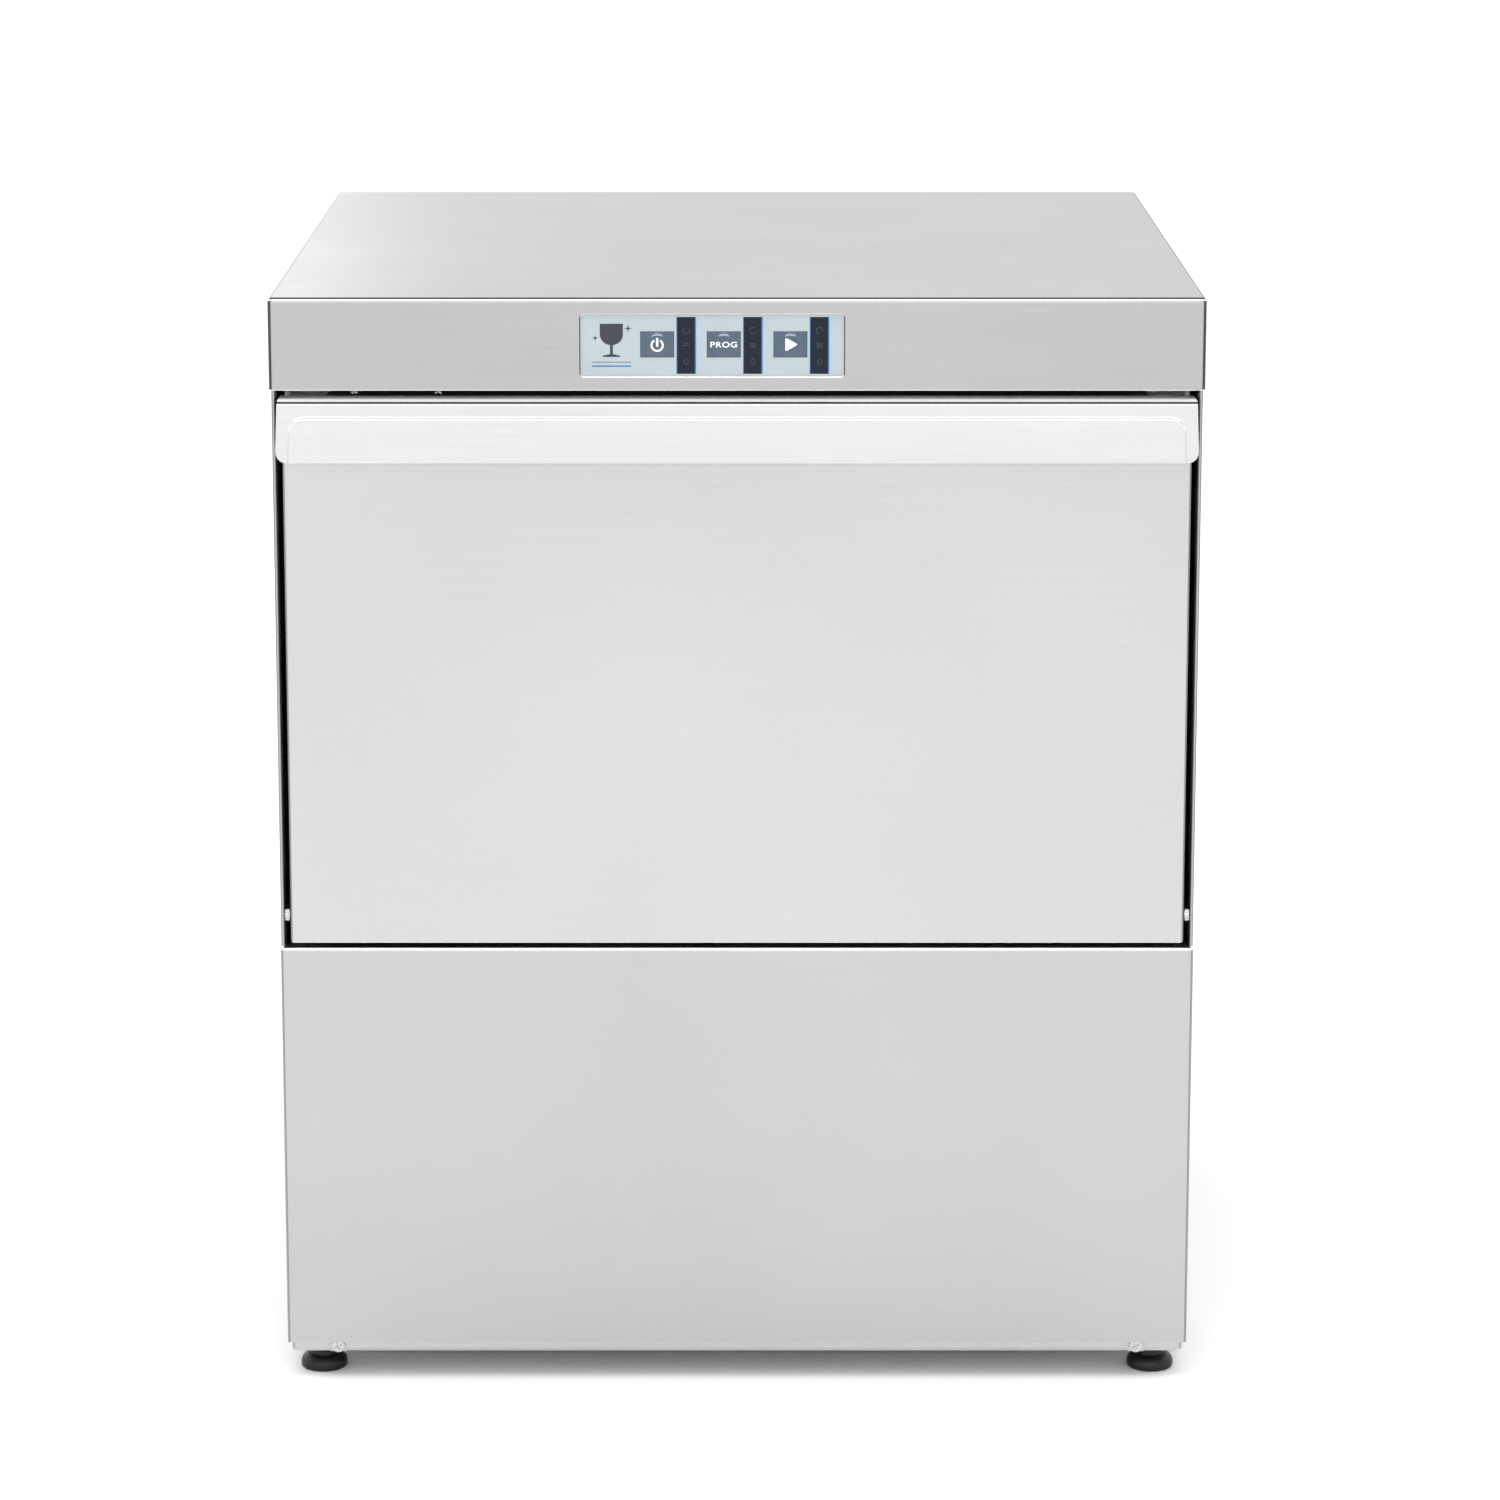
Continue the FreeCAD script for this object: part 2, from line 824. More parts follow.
def front_posts():
    """The two box-section uprights behind the front frame."""
    left = -(SIDE_X - d.hem_width - 2.8)
    low = TRAY_FLOOR + 0.2
    tall = d.frame_top - low
    wall = d.post_wall
    outer = block("post_outer", (d.post_width, d.post_depth, tall), (left, CHAMBER_FRONT, low))
    inner_size = (d.post_width - 2 * wall, d.post_depth - 2 * wall, tall)
    inner = block("post_inner", inner_size, (left + wall, CHAMBER_FRONT + wall, low))
    return pair("front_posts", cut("post", outer, inner))


def front_frame():
    """Steel frame round the chamber's mouth; the gasket seals against it."""
    body = new_body("front_frame")
    mouth = d.chamber_width / 2 - d.steel
    face = sketch(body, "XZ_Plane", "frame_face")
    rectangle(face, -(d.frame_width / 2), d.frame_width / 2, d.frame_low, d.frame_top)
    rectangle(face, -mouth, mouth, d.sill_height, d.lintel_height)
    for x in SWITCH_SCREWS_X:
        circle(face, x, SWITCH_SCREW_LEVEL, 1.7)
    pad(body, face, d.steel)
    reach = float(mouth) + 0.01

    def mouth_corner(edge):
        box = edge.BoundBox
        return box.YLength > 0.9 and abs(box.Center.x) < reach and abs(box.Center.x) > reach - 1

    fillet(body, d.frame_corner, mouth_corner)
    return put(body, (0, CHAMBER_FRONT, 0))


def door_gasket():
    """Rubber seal round the chamber's mouth, with clearance holes for the switch screws."""
    body = new_body("door_gasket")
    inner = d.chamber_width / 2 - d.steel + d.gasket_margin
    outer = inner + d.gasket_width
    low = d.sill_height - d.gasket_margin - d.gasket_width
    high = d.lintel_height + d.gasket_margin + d.gasket_width
    face = sketch(body, "XZ_Plane", "gasket_face")
    rectangle(face, -outer, outer, low, high)
    rectangle(face, -inner, inner, low + d.gasket_width, high - d.gasket_width)
    for x in SWITCH_SCREWS_X:
        circle(face, x, SWITCH_SCREW_LEVEL, 3)
    pad(body, face, d.gasket_depth)
    fillet(
        body,
        d.gasket_bulge,
        lambda e: lies_on(e, body.Tip.Shape, "-y") and max(e.BoundBox.XLength, e.BoundBox.ZLength) > 50,
    )
    return put(body, (0, CHAMBER_FRONT - d.steel, 0))


def panel_screws():
    """Pan-head screws of the lower panel and the rear panel."""
    screws = []
    head_front = FRONT + d.tray_inset - 0.9 - d.screw_head_height
    for side in (-1, 1):
        at = (side * d.screw_x, head_front, d.screw_height)
        head = rod(f"front_head{side + 1}", d.screw_head, d.screw_head_height, at, "y")
        shank = rod(f"front_shank{side + 1}", d.screw_shank, 10, at, "y")
        screws.append(fuse(f"front_screw{side + 1}", head, shank))
    for side in (-1, 1):
        for level in REAR_SCREW_LEVELS:
            x = side * (SIDE_X - d.rear_screw_inset)
            tag = f"{side + 1}_{level}"
            inside = 10
            head = rod("rear_head" + tag, d.rear_screw_head, 2, (x, REAR, level), "y")
            shank = rod("rear_shank" + tag, d.screw_shank, inside + 2, (x, REAR - inside, level), "y")
            screws.append(fuse("rear_screw" + tag, head, shank))
    return group("panel_screws", *screws)


def foot(name, sx, sy):
    """Levelling foot: a rounded pad on a stud."""
    body = new_body(name)
    plan = sketch(body, "XY_Plane", name + "_plan")
    circle(plan, 0, 0, d.foot_pad)
    disc = pad(body, plan, d.foot_pad_height).Shape
    fillet(body, d.foot_sole_round, lambda e: lies_on(e, disc, "-z"))
    fillet(body, d.foot_pad_round, lambda e: lies_on(e, disc, "+z"))
    shoulder = sketch(body, "XY_Plane", name + "_shoulder")
    circle(shoulder, 0, 0, d.foot_pad - d.foot_pad_round)
    pad(body, shoulder, d.base_height - 0.5)
    stud = sketch(body, "XY_Plane", name + "_stud")
    circle(stud, 0, 0, d.foot_stud)
    pad(body, stud, d.foot_stud_top)
    return put(body, (sx * d.foot_x, sy * d.foot_y, 0))


# ---------------------------------------------------------------- door


def door_outer_panel():
    """Outer skin of the door, folded back all round."""
    body = new_body("door_outer_panel")
    half = d.door_width / 2
    plan = sketch(body, "XY_Plane", "door_plan")
    rectangle(plan, -half, half, 0, d.door_skin_depth)
    pad(body, plan, d.door_top - d.door_low)
    tray(body, d.panel_fold, d.steel, ["+y"])
    holes = sketch(body, "YZ_Plane", "door_pin_holes")
    circle(holes, HINGE_Y - DOOR_FACE, d.hinge_height - d.door_low, d.door_hole)
    pocket(body, holes)
    return put(body, (0, DOOR_FACE, d.door_low))


def door_inner_panel():
    """Inner skin with two raised ribs; its lower back edge slopes clear of the frame as it swings."""
    body = new_body("door_inner_panel")
    half = d.door_width / 2 - d.inner_inset
    plan = sketch(body, "XY_Plane", "inner_plan", d.inner_inset)
    rectangle(plan, -half, half, d.inner_overlap, d.door_back)
    block_pad = pad(body, plan, d.door_top - d.door_low - 2 * d.inner_inset)
    whole = block_pad.Shape
    low_edge = [
        f"Edge{i}"
        for i, e in enumerate(whole.Edges, 1)
        if lies_on(e, whole, "+y") and lies_on(e, whole, "-z")
    ]
    slope = body.newObject("PartDesign::Chamfer", "inner_slope")
    slope.Base = (block_pad, low_edge)
    slope.ChamferType = "Two distances"
    bind(slope, "Size", d.hinge_height - d.door_low - d.inner_inset)
    bind(slope, "Size2", d.door_back - d.door_skin_depth)
    finish(body, slope)
    tray(body, d.panel_fold, d.steel, ["-y"])
    ribs = sketch(body, "XZ_Plane", "inner_ribs", -(d.door_back - d.steel))
    for side in (-1, 1):
        rib = side * d.rib_x
        low_z = d.rib_low - d.door_low
        rectangle(ribs, rib - d.rib_width / 2, rib + d.rib_width / 2, low_z, d.rib_top - d.door_low)
    pad(body, ribs, d.rib_rise + d.steel, backwards=True)
    peak = body.Tip.Shape
    fillet(body, 4, lambda e: lies_on(e, peak, "+y"))
    dents = sketch(body, "XZ_Plane", "inner_rib_dents", -(d.door_back - d.steel))
    for side in (-1, 1):
        rib = side * d.rib_x
        reach = d.rib_width / 2 - d.steel - 3
        low_z = d.rib_low - d.door_low + d.steel + 3
        rectangle(dents, rib - reach, rib + reach, low_z, d.rib_top - d.door_low - d.steel - 3)
    pocket(body, dents, d.rib_rise - 2, backwards=True)
    return put(body, (0, DOOR_FACE, d.door_low))


def door_handle():
    """Full-width lip folded from sheet: top flange, bend, sloping face with a raised field, safety hem."""
    body = new_body("handle_sheet")
    half = d.handle_width / 2
    gauge = d.cover_sheet
    top = d.door_top + gauge
    low = d.total_height - d.fascia_drop - 5 - d.handle_drop
    outer_top = FRONT - d.handle_top_reach
    outer_low = FRONT - d.handle_reach
    back = DOOR_FACE + 14
    profile = sketch(body, "YZ_Plane", "handle_profile")
    outline = [
        (back, top),
        (outer_top, top),
        (outer_low, low),
        (outer_low + d.handle_hem, low),
        (outer_low + d.handle_hem, low + gauge),
        (outer_low + 1.1 * gauge, low + gauge),
        (outer_top + 1.1 * gauge, top - gauge),
        (back, top - gauge),
    ]
    polygon(profile, outline)
    pad(body, profile, 2 * half, midplane=True)
    bend_at = float(outer_top)
    fillet(
        body,
        d.handle_bend,
        lambda e: e.BoundBox.XLength > 100 and abs(e.BoundBox.YMin - bend_at) < 0.01,
    )
    inner_bend = bend_at + 1.1 * float(gauge)
    fillet(
        body,
        d.handle_bend - gauge,
        lambda e: e.BoundBox.XLength > 100 and abs(e.BoundBox.YMin - inner_bend) < 0.01,
    )
    trim = sketch(body, "XZ_Plane", "handle_corners")
    corner = d.handle_corner
    steps = 6
    for side in (-1, 1):
        points = [(side * (half - corner), low - 1), (side * (half + 1), low - 1), (side * (half + 1), low + corner)]
        for step in range(steps + 1):
            turn = math.radians(90 * step / steps)
            across = half - corner * (1 - math.cos(turn))
            points.append((side * across, low + corner * (1 - math.sin(turn))))
        polygon(trim, points)
    pocket(body, trim)
    field_top = low + d.emboss_height
    lean = (outer_low - outer_top) / (top - low) * d.emboss_height
    rise = d.emboss_rise
    slab = new_body("handle_slab")
    slope = sketch(slab, "YZ_Plane", "handle_slope")
    outline = [
        (outer_low - rise, low),
        (outer_low + 0.5, low),
        (outer_low - lean + 0.5, field_top),
        (outer_low - lean - rise, field_top),
    ]
    polygon(slope, outline)
    pad(slab, slope, d.handle_width, midplane=True)
    field = new_body("handle_field")
    plan = sketch(field, "XY_Plane", "field_plan", low + 0.4)
    rectangle(plan, -(d.emboss_width / 2), d.emboss_width / 2, outer_low - 2, outer_top + 2)
    pad(field, plan, d.emboss_height - 0.4)
    fillet(field, d.emboss_corner, lambda e: e.BoundBox.XLength < 0.01 and e.BoundBox.ZLength < 0.01)
    raised = doc.addObject("Part::MultiCommon", "handle_raised")
    raised.Shapes = [slab, field]
    return fuse("door_handle", body, raised)


def hinge_brackets():
    """Side plates that carry the door on riveted pins."""
    body = new_body("hinge_bracket")
    thick = d.bracket_sheet
    nose = d.bracket_nose
    plate_x = -(SIDE_X - d.hem_width - 0.3)
    outline = sketch(body, "YZ_Plane", "bracket_outline")
    tail = CHAMBER_FRONT + 26
    points = [
        (HINGE_Y, d.hinge_height - nose),
        (CHAMBER_FRONT, d.hinge_height - 16),
        (tail, d.hinge_height - 16),
        (tail, d.hinge_height + 22),
        (CHAMBER_FRONT, d.hinge_height + 22),
        (HINGE_Y, d.hinge_height + nose),
    ]
    polygon(outline, points)
    pad(body, outline, thick)
    tip = sketch(body, "YZ_Plane", "bracket_nose")
    circle(tip, HINGE_Y, d.hinge_height, nose)
    pad(body, tip, thick)
    pin = sketch(body, "YZ_Plane", "bracket_pin")
    circle(pin, HINGE_Y, d.hinge_height, d.pin_radius)
    pad(body, pin, d.pin_reach)
    put(body, (plate_x, 0, 0))
    return pair("hinge_brackets", body)


def hinge_blocks():
    """Bearing blocks inside the door's lower corners, which turn on the pins."""
    outer_x = -(d.door_width / 2 - d.inner_inset - d.steel - 0.2)
    wide = d.block_width
    half = d.block_half
    size = (wide, 2 * half, 2 * half)
    at = (outer_x, HINGE_Y - half, d.hinge_height - half)
    solid = block("hinge_block_blank", size, at)
    bore = rod(
        "hinge_block_bore",
        d.pin_radius + d.pin_clearance,
        wide + 2,
        (outer_x - 1, HINGE_Y, d.hinge_height),
        "x",
    )
    return pair("hinge_blocks", cut("hinge_block", solid, bore))


def door_springs():
    """Torsion springs on the inner ends of the pins; they balance the door's weight."""
    coils = []
    mean = float(d.pin_radius + d.spring_gap)
    length = float(d.spring_pitch * d.spring_turns)
    start = -float(d.door_width / 2 - d.steel - d.spring_inset)
    for side in (1, -1):
        helix = Part.makeHelix(float(d.spring_pitch), length, mean)
        ring = Part.Wire(Part.makeCircle(float(d.spring_wire), Vector(mean, 0, 0), Vector(0, 1, 0)))
        coil = Part.Wire(helix).makePipeShell([ring], True, True)
        coil.Placement = Placement(Vector(start, float(HINGE_Y), float(d.hinge_height)), ALONG["x"])
        if side < 0:
            coil = coil.mirror(Vector(0, 0, 0), Vector(1, 0, 0))
        coils.append(coil)
    feature = doc.addObject("Part::Feature", "door_springs")
    feature.Shape = Part.makeCompound(coils)
    return feature


def door_magnet():
    """Magnet in the top of the door that closes the reed switch."""
    size = (30, 8, 8)
    at = (SWITCH_SCREWS_X[0] + 12, DOOR_FACE + d.door_back - d.steel - 8.2, d.door_top - 14)
    return block("door_magnet", size, at)


def door_switch():
    """Reed switch behind the frame, with its two screws showing through the gasket."""
    left = SWITCH_SCREWS_X[0] - 8
    span = SWITCH_SCREWS_X[1] - SWITCH_SCREWS_X[0] + 16
    back = CHAMBER_FRONT
    housing = block("switch_housing", (span, 12, 12), (left, back, d.chamber_top + 1))
    lug = block("switch_lug", (span, 2, 12), (left, back, d.chamber_top + 1))
    parts = [housing, lug]
    for i, x in enumerate(SWITCH_SCREWS_X):
        at = (x, back - d.steel - 5, SWITCH_SCREW_LEVEL)
        parts.append(rod(f"switch_screw{i}", 1.5, 8, at, "y"))
        parts.append(rod(f"switch_head{i}", 2.6, 2, at, "y"))
        parts.append(block(f"switch_tab{i}", (8, 2, 8), (x - 4, back, d.chamber_top + 0.1)))
    return fuse("door_switch", *parts)


# ---------------------------------------------------------------- wash chamber


def wash_chamber():
    """Wash chamber with rounded corners, open at the front and over the tank."""
    body = new_body("wash_chamber")
    half = d.chamber_width / 2
    plan = sketch(body, "XY_Plane", "chamber_plan")
    rectangle(plan, -half, half, 0, d.chamber_depth)
    pad(body, plan, d.chamber_top - d.chamber_low)
    tray(body, d.chamber_corner, d.steel, ["-y"])
    mouth = sketch(body, "XY_Plane", "chamber_mouth")
    centre = d.axis_y - CHAMBER_FRONT
    reach = d.tank_mouth / 2
    rectangle(mouth, -reach, reach, centre - reach, centre + reach)
    pocket(body, mouth, 3 * d.steel, backwards=True)
    ceiling = sketch(body, "XY_Plane", "chamber_ceiling_hole", d.chamber_top - d.chamber_low - 4)
    circle(ceiling, 0, centre, d.hub_radius + 0.2)
    pocket(body, ceiling, 8, backwards=True)
    return put(body, (0, CHAMBER_FRONT, d.chamber_low))


def wash_tank():
    """Drawn tank under the chamber, with holes for the hub, the pump and the overflow."""
    body = new_body("wash_tank")
    half = d.tank_width / 2
    plan = sketch(body, "XY_Plane", "tank_plan")
    rectangle(plan, -half, half, -half, half)
    pad(body, plan, d.chamber_low - d.tank_low)
    tray(body, d.tank_corner, d.steel, ["+z"])
    holes = sketch(body, "XY_Plane", "tank_holes")
    circle(holes, 0, 0, d.hub_radius + 0.2)
    circle(holes, d.suction_x, d.motor_y - d.axis_y, d.suction_radius - 3)
    circle(holes, d.drain_x, d.drain_y - d.axis_y, d.drain_bore)
    pocket(body, holes, 3 * d.steel, backwards=True)
    return put(body, (0, d.axis_y, d.tank_low))


def tank_filters():
    """Two slotted filter plates that meet at the hub."""
    body = new_body("tank_filter")
    half = d.filter_width / 2
    plan = sketch(body, "XY_Plane", "filter_plan")
    rectangle(plan, 0.5, half, -half, half)
    pad(body, plan, d.filter_sheet)
    slots = sketch(body, "XY_Plane", "filter_slots")
    first = -(d.slot_pitch * (d.slots - 1) / 2)
    rectangle(
        slots,
        d.slot_start,
        d.slot_start + d.slot_length,
        first - d.slot_width / 2,
        first + d.slot_width / 2,
    )
    repeat(body, pocket(body, slots), "Y_Axis", d.slots, d.slot_pitch)
    notch = sketch(body, "XY_Plane", "filter_notch")
    circle(notch, 0, 0, d.hub_shoulder + 2)
    pocket(body, notch)
    put(body, (0, d.axis_y, CHAMBER_FLOOR))
    return pair("tank_filters", body)


def overflow_pipe():
    """Standpipe that sets the tank's water level; pulled out to drain the tank."""
    seat = d.tank_low + d.steel
    rim = d.chamber_low - d.overflow_headroom
    foot_top = seat + d.overflow_foot_height
    grip_low = rim - d.overflow_grip_height
    rings = []
    for name, radius, low, top in (
        ("overflow_foot", d.overflow_foot, seat, foot_top),
        ("overflow_tube", d.overflow_radius, foot_top, grip_low),
        ("overflow_grip", d.overflow_grip, grip_low, rim),
    ):
        at = (d.drain_x, d.drain_y, low)
        outer = rod(name + "_outer", radius, top - low, at)
        rings.append(cut(name, outer, rod(name + "_bore", d.drain_bore, top - low, at)))
    return group("overflow_pipe", *rings)


def tank_heater():
    """Hairpin heating element with its flange outside the tank wall."""
    level = d.tank_low + d.heater_rise
    end = d.tank_width / 2 - d.steel
    y = d.axis_y + d.heater_offset
    slack = 0.2
    route = [
        (end - slack, y, level),
        (d.heater_far_x, y, level),
        (d.heater_far_x, y + d.heater_gap, level),
        (end - slack, y + d.heater_gap, level),
    ]
    element = swept(route, d.heater_radius, d.heater_bend)
    feature = doc.addObject("Part::Feature", "heater_element")
    feature.Shape = element
    margin = 15
    tall = 34
    below = 14
    size = (d.heater_flange, d.heater_gap + 2 * margin, tall)
    plate = block("heater_flange", size, (end - d.heater_flange - slack, y - margin, level - below))
    return fuse("tank_heater", feature, plate)


def lower_hub():
    """Feed column and spindle of the lower arms, with the nut that keeps them on."""
    floor = CHAMBER_FLOOR + 5
    column = rod("lower_column", d.hub_radius, floor - d.hub_low, (0, d.axis_y, d.hub_low))
    shoulder = rod("lower_shoulder", d.hub_shoulder, 5, (0, d.axis_y, floor - 5))
    tall = wash_level() + d.wash_hub_height + d.rinse_hub_height + d.arm_gap * 2 - floor
    spindle = rod("lower_spindle", d.spindle_radius, tall, (0, d.axis_y, floor))
    nut = rod("lower_nut", d.nut_grip, d.nut_thick, (0, d.axis_y, floor + tall))
    return group("lower_hub", fuse("lower_feed", column, shoulder, spindle), nut)


def wash_level():
    """Underside of the lower wash arm's hub."""
    return CHAMBER_FLOOR + 5.5


def upper_level():
    """Topmost face of the upper wash arm's hub."""
    return d.chamber_top - d.steel - 12.5


def upper_hub():
    """Feed column and spindle of the upper arms, hanging from the ceiling."""
    top = d.chamber_top + 10
    base = upper_level() + 0.5
    column = rod("upper_column", d.hub_radius, top - base, (0, d.axis_y, base))
    shoulder = rod("upper_shoulder", d.hub_shoulder, 5, (0, d.axis_y, base))
    end = upper_level() - d.wash_hub_height - d.rinse_hub_height - d.arm_gap * 2
    spindle = rod("upper_spindle", d.spindle_radius, base - end, (0, d.axis_y, end))
    nut = rod("upper_nut", d.nut_grip, d.nut_thick, (0, d.axis_y, end - d.nut_thick))
    return group("upper_hub", fuse("upper_feed", column, shoulder, spindle), nut)


def wash_arm(name, level, turned_over):
    """Hollow pressed arm with slot nozzles, free to turn on its spindle."""
    body = new_body(name)
    reach = d.wash_arm_reach
    half = d.wash_arm_half_width
    lift = (d.wash_hub_height - d.wash_arm_height) / 2
    plan = sketch(body, "XY_Plane", name + "_plan", lift)
    taper = half * 0.72
    outline = [(-reach, -taper), (0, -half), (reach, -taper), (reach, taper), (0, half), (-reach, taper)]
    polygon(plan, outline)
    pad(body, plan, d.wash_arm_height)
    tips = body.Tip.Shape
    end = float(reach)
    fillet(body, d.arm_corner, lambda e: upright(e) and abs(abs(e.BoundBox.Center.x) - end) < 0.1)
    fillet(body, d.arm_edge, lambda e: lies_on(e, tips, "+z") or lies_on(e, tips, "-z"))
    cavity = sketch(body, "XY_Plane", name + "_cavity", lift)
    start = d.wash_hub_radius - 2
    stop = reach - 6
    inner = taper - 3
    for side in (-1, 1):
        rectangle(cavity, *sorted((side * start, side * stop), key=float), -inner, inner)
    pocket(body, cavity, d.wash_arm_height - d.arm_wall, backwards=True)
    floor = sketch(body, "XY_Plane", name + "_floor", lift)
    for side in (-1, 1):
        ends = sorted((side * (start - 1), side * (stop + 1)), key=float)
        rectangle(floor, *ends, -inner - 1, inner + 1)
    pad(body, floor, d.arm_wall)
    hub = sketch(body, "XY_Plane", name + "_hub")
    circle(hub, 0, 0, d.wash_hub_radius)
    pad(body, hub, d.wash_hub_height)
    bore = sketch(body, "XY_Plane", name + "_bore")
    circle(bore, 0, 0, d.spindle_radius + d.arm_clearance)
    pocket(body, bore)
    roof = d.wash_hub_height
    nozzle = sketch(body, "XY_Plane", name + "_nozzle", roof)
    rectangle(
        nozzle,
        d.nozzle_start - d.nozzle_width / 2,
        d.nozzle_start + d.nozzle_width / 2,
        -(d.nozzle_length / 2),
        d.nozzle_length / 2,
    )
    first = pocket(body, nozzle, d.nozzle_depth)
    repeat(body, first, "X_Axis", d.nozzles, d.nozzle_pitch)
    opposite = sketch(body, "XY_Plane", name + "_nozzle_far", roof)
    rectangle(
        opposite,
        -d.nozzle_start - d.nozzle_pitch / 2 - d.nozzle_width / 2,
        -d.nozzle_start - d.nozzle_pitch / 2 + d.nozzle_width / 2,
        -(d.nozzle_length / 2),
        d.nozzle_length / 2,
    )
    second = pocket(body, opposite, d.nozzle_depth)
    far_row = body.newObject("PartDesign::LinearPattern", name + "_far_row")
    far_row.Originals = [second]
    far_row.Direction = (origin_feature(body, "X_Axis"), [""])
    far_row.Reversed = True
    far_row.Mode = "Spacing"
    bind(far_row, "Offset", d.nozzle_pitch)
    far_row.Occurrences = int(float(d.nozzles)) - 1
    finish(body, far_row)
    flip = Rotation(Vector(1, 0, 0), 180) if turned_over else Rotation()
    return put(body, (0, d.axis_y, level), flip)


def rinse_arm(name, level, turned_over):
    """Slim tubular rinse arm with small nozzles."""
    reach = d.rinse_arm_reach
    up = -1 if turned_over else 1
    middle = level + up * (d.rinse_hub_height / 2)
    low = level - d.rinse_hub_height if turned_over else level
    tube = rod(name + "_tube", d.rinse_arm_radius, 2 * reach, (-reach, d.axis_y, middle), "x")
    hub = rod(name + "_hub", d.rinse_hub_radius, d.rinse_hub_height, (0, d.axis_y, low))
    solids = [tube, hub]
    sunk = 0.6
    z = middle + d.rinse_arm_radius - sunk
    if turned_over:
        z = middle - d.rinse_arm_radius + sunk - d.jet_height
    for side, shift in ((-1, 0), (1, d.jet_stagger)):
        for i in range(int(float(d.jets))):
            at = (side * (d.jet_start + d.jet_pitch * i + shift), d.axis_y, z)
            solids.append(rod(f"{name}_jet{side + 1}{i}", d.jet_radius, d.jet_height, at))
    inside = reach - 4
    bore = rod(name + "_bore", d.rinse_bore, 2 * inside, (-inside, d.axis_y, middle), "x")
    hole = rod(name + "_hole", d.spindle_radius + d.arm_clearance, d.rinse_hub_height, (0, d.axis_y, low))
    return cut(name, fuse(name + "_solid", *solids), bore, hole)


def basket_rails():
    """Angle rails on the chamber's side walls that carry the basket."""
    wall_x = -(d.chamber_width / 2 - d.steel)
    depth = d.chamber_depth - 2 * d.chamber_corner - 10
    start = CHAMBER_FRONT + 6
    shelf_size = (d.rail_width, depth, d.rail_sheet)
    shelf = block("rail_shelf", shelf_size, (wall_x, start, d.rail_height))
    leg = block("rail_leg", (d.rail_sheet, depth, d.rail_drop), (wall_x, start, d.rail_height - d.rail_drop))
    return pair("basket_rails", fuse("rail", shelf, leg))


def glass_basket():
    """Open rack for glasses: a lattice floor and four windowed walls."""
    body = new_body("glass_basket")
    half = d.basket_width / 2
    inner = half - d.basket_wall
    ring = sketch(body, "XY_Plane", "basket_ring")
    rectangle(ring, -half, half, -half, half)
    rectangle(ring, -inner, inner, -inner, inner)
    pad(body, ring, d.basket_height)
    pitch = d.basket_width / d.basket_cells
    low = -(pitch * (d.basket_cells / 2 - 1))
    bar = d.basket_bar / 2
    for axis, plane_points in (("X_Axis", 0), ("Y_Axis", 1)):
        bars = sketch(body, "XY_Plane", f"basket_bars{plane_points}")
        across = (low - bar, low + bar)
        along = (-inner - 1, inner + 1)
        if axis == "X_Axis":
            rectangle(bars, *across, *along)
        else:
            rectangle(bars, *along, *across)
        repeat(body, pad(body, bars, 4), axis, d.basket_cells - 1, pitch)
    for plane, axis in (("XZ_Plane", "X_Axis"), ("YZ_Plane", "Y_Axis")):
        windows = sketch(body, plane, "basket_windows_" + plane[:2])
        first = -(d.window_pitch * (d.windows - 1) / 2)
        rectangle(
            windows,
            first - d.window_width / 2,
            first + d.window_width / 2,
            d.window_low,
            d.window_low + d.window_height,
        )
        repeat(body, pocket(body, windows), axis, d.windows, d.window_pitch)
    return put(body, (0, d.axis_y, d.basket_low))


# ---------------------------------------------------------------- controls


def key_x(index):
    return d.key_first_x + index * d.key_pitch


def strip_x(index):
    return d.strip_first_x + index * d.key_pitch


def control_panel():
    """Moulded plate behind the fascia, with openings for the keys and seats for the windows."""
    body = new_body("control_panel")
    face = sketch(body, "XZ_Plane", "control_face")
    wide = d.aperture_width / 2 + d.panel_margin
    tall = d.aperture_height / 2 + d.panel_margin
    rectangle(face, d.window_x - wide, d.window_x + wide, d.window_z - tall, d.window_z + tall)
    for index in range(3):
        half = d.key_width / 2 + d.key_gap
        rise = d.key_height / 2 + d.key_gap
        x = key_x(index)
        rectangle(face, x - half, x + half, key_level() - rise, key_level() + rise)
    pad(body, face, d.panel_thick, backwards=True)
    seats = sketch(body, "XZ_Plane", "window_seats")
    for index in range(3):
        half = d.strip_width / 2
        rise = d.strip_height / 2
        x = strip_x(index)
        rectangle(seats, x - half, x + half, d.window_z - rise, d.window_z + rise)
    pocket(body, seats, d.strip_thick)
    return put(body, (0, FRONT + d.cover_sheet, 0))


def key_level():
    return d.window_z + 0.7


def indicator_windows():
    """Three smoked windows over the indicator lights."""
    strips = []
    for index in range(3):
        size = (d.strip_width, d.strip_thick, d.strip_height)
        x = strip_x(index) - d.strip_width / 2
        at = (x, FRONT + d.cover_sheet, d.window_z - d.strip_height / 2)
        strips.append(block(f"strip{index}", size, at))
    return group("indicator_windows", *strips)


def key(name, index):
    """Push key that travels half a millimetre."""
    body = new_body(name)
    face = sketch(body, "XZ_Plane", name + "_face")
    half = d.key_width / 2
    rise = d.key_height / 2
    rectangle(face, -half, half, -rise, rise)
    pad(body, face, d.key_thick, backwards=True)
    fillet(body, d.key_corner, lambda e: e.BoundBox.YLength > 1)
    blank = body.Tip.Shape
    fillet(body, 0.15, lambda e: lies_on(e, blank, "-y"))
    return put(body, (key_x(index), FRONT + d.cover_sheet - d.key_proud, key_level()))


